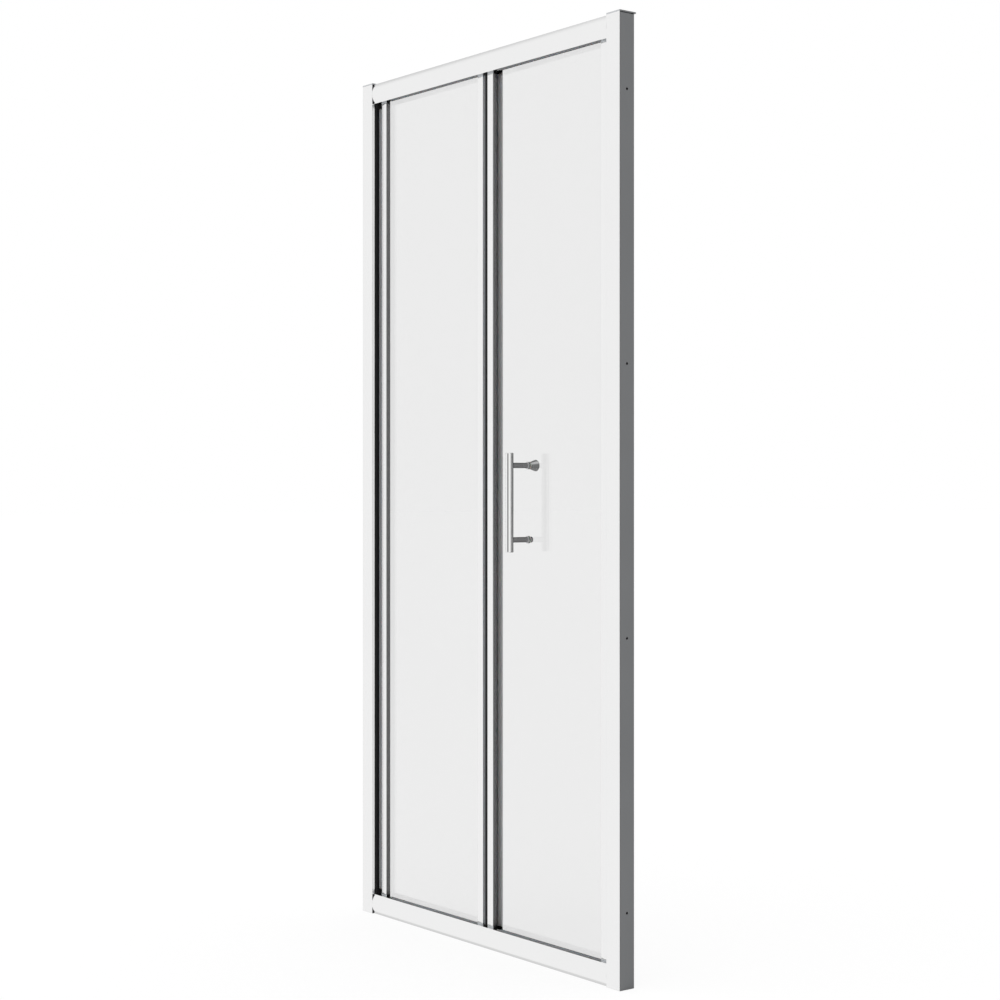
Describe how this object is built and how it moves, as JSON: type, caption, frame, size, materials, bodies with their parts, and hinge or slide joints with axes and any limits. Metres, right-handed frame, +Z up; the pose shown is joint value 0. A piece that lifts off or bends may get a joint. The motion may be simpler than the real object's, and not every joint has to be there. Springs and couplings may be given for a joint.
{
  "type": "bifold shower door",
  "caption": "Framed bifold shower door: clear glass panels hinged at a fold, pivoting beside one jamb, with a bar handle and a roller carriage in the head rail.",
  "frame": {"origin": "middle of the sill rail's underside, half-way between the two walls and half-way through the jambs' depth", "axes": "+X to the right seen from outside the shower, +Y from the outside into the shower, +Z up"},
  "size_m": [0.88, 0.0812, 1.853],
  "materials": {
    "polished_aluminium": "polished",
    "mill_aluminium": "satin",
    "toughened_glass": "polished",
    "chrome": "polished",
    "stainless": "satin",
    "black_nylon": "matte",
    "black_epdm": "matte",
    "grey_pvc": "matte",
    "cap_plastic": "matte",
    "cover_plastic": "gloss",
    "acetal": "satin"
  },
  "bodies": {
    "frame": {"jamb_left": "polished_aluminium", "jamb_right": "polished_aluminium", "wall_channel_left": "mill_aluminium", "wall_channel_right": "mill_aluminium", "head_rail": "polished_aluminium", "sill_rail": "polished_aluminium", "jamb_caps": "cap_plastic", "corner_screws": "stainless", "adjust_screws": "stainless", "screw_covers": "chrome", "jamb_seal": "black_epdm", "strike_magnet": "grey_pvc", "pivot_bracket_top": "black_nylon", "pivot_bracket_bottom": "black_nylon", "bracket_screws": "stainless", "washer_bottom": "acetal", "fold_stop": "black_nylon", "stop_buffer": "black_epdm", "stop_screw": "stainless"},
    "left_panel": {"left_glass": "toughened_glass", "pivot_stile": "polished_aluminium", "fold_stile_left": "polished_aluminium", "pivot_stile_plugs": "black_nylon", "fold_plugs_left": "black_nylon", "left_cap_covers": "cover_plastic", "pivot_pins": "stainless", "pivot_wiper": "grey_pvc", "washer_top": "acetal", "left_front_gaskets": "grey_pvc", "left_rear_gaskets": "grey_pvc", "left_edge_seals": "grey_pvc", "hinge_socket": "grey_pvc"},
    "right_panel": {"right_glass": "toughened_glass", "fold_stile_right": "polished_aluminium", "guide_stile": "polished_aluminium", "guide_stile_plugs": "black_nylon", "fold_plugs_right": "black_nylon", "right_cap_covers": "cover_plastic", "guide_pins": "stainless", "right_front_gaskets": "grey_pvc", "right_rear_gaskets": "grey_pvc", "right_edge_seals": "grey_pvc", "hinge_bead": "black_nylon", "bead_end_discs": "black_nylon", "panel_magnet": "grey_pvc", "handle_bar": "chrome", "handle_posts": "chrome", "front_collars": "chrome", "handle_studs": "stainless", "glass_bushes": "acetal", "rear_washers": "acetal", "inner_knob": "chrome", "cap_nut": "chrome"},
    "top_carriage": {"carriage_block": "acetal"},
    "wheelset_left": {"wheels_left": "acetal", "axle_left": "stainless"},
    "wheelset_right": {"wheels_right": "acetal", "axle_right": "stainless"},
    "bottom_shoe": {"guide_shoe": "acetal"}
  },
  "joints": [
    {"name": "fold", "type": "hinge", "parent": "frame", "child": "left_panel", "pos_m": [-0.381, 0.00255, 0.9], "axis": [0, 0, 1], "range_deg": [0, 75]},
    {"name": "panel_hinge", "type": "hinge", "parent": "left_panel", "child": "right_panel", "pos_m": [-0.003, -0.001, 0.9], "axis": [0, 0, 1], "range_deg": [-150, 0]},
    {"name": "carriage_swivel", "type": "hinge", "parent": "right_panel", "child": "top_carriage", "pos_m": [0.375, 0.00255, 1.82], "axis": [0, 0, 1], "range_deg": [0, 75]},
    {"name": "shoe_swivel", "type": "hinge", "parent": "right_panel", "child": "bottom_shoe", "pos_m": [0.375, 0.00255, 0.03], "axis": [0, 0, 1], "range_deg": [0, 75]},
    {"name": "wheel_spin_left", "type": "hinge", "parent": "top_carriage", "child": "wheelset_left", "pos_m": [0.361, 0.00255, 1.8248], "axis": [0, 1, 0], "continuous": true},
    {"name": "wheel_spin_right", "type": "hinge", "parent": "top_carriage", "child": "wheelset_right", "pos_m": [0.389, 0.00255, 1.8248], "axis": [0, 1, 0], "continuous": true}
  ],
  "couplings": [
    {"joint": "panel_hinge", "follows": "fold", "ratio": -2},
    {"joint": "carriage_swivel", "follows": "fold", "ratio": 1},
    {"joint": "shoe_swivel", "follows": "fold", "ratio": 1}
  ]
}
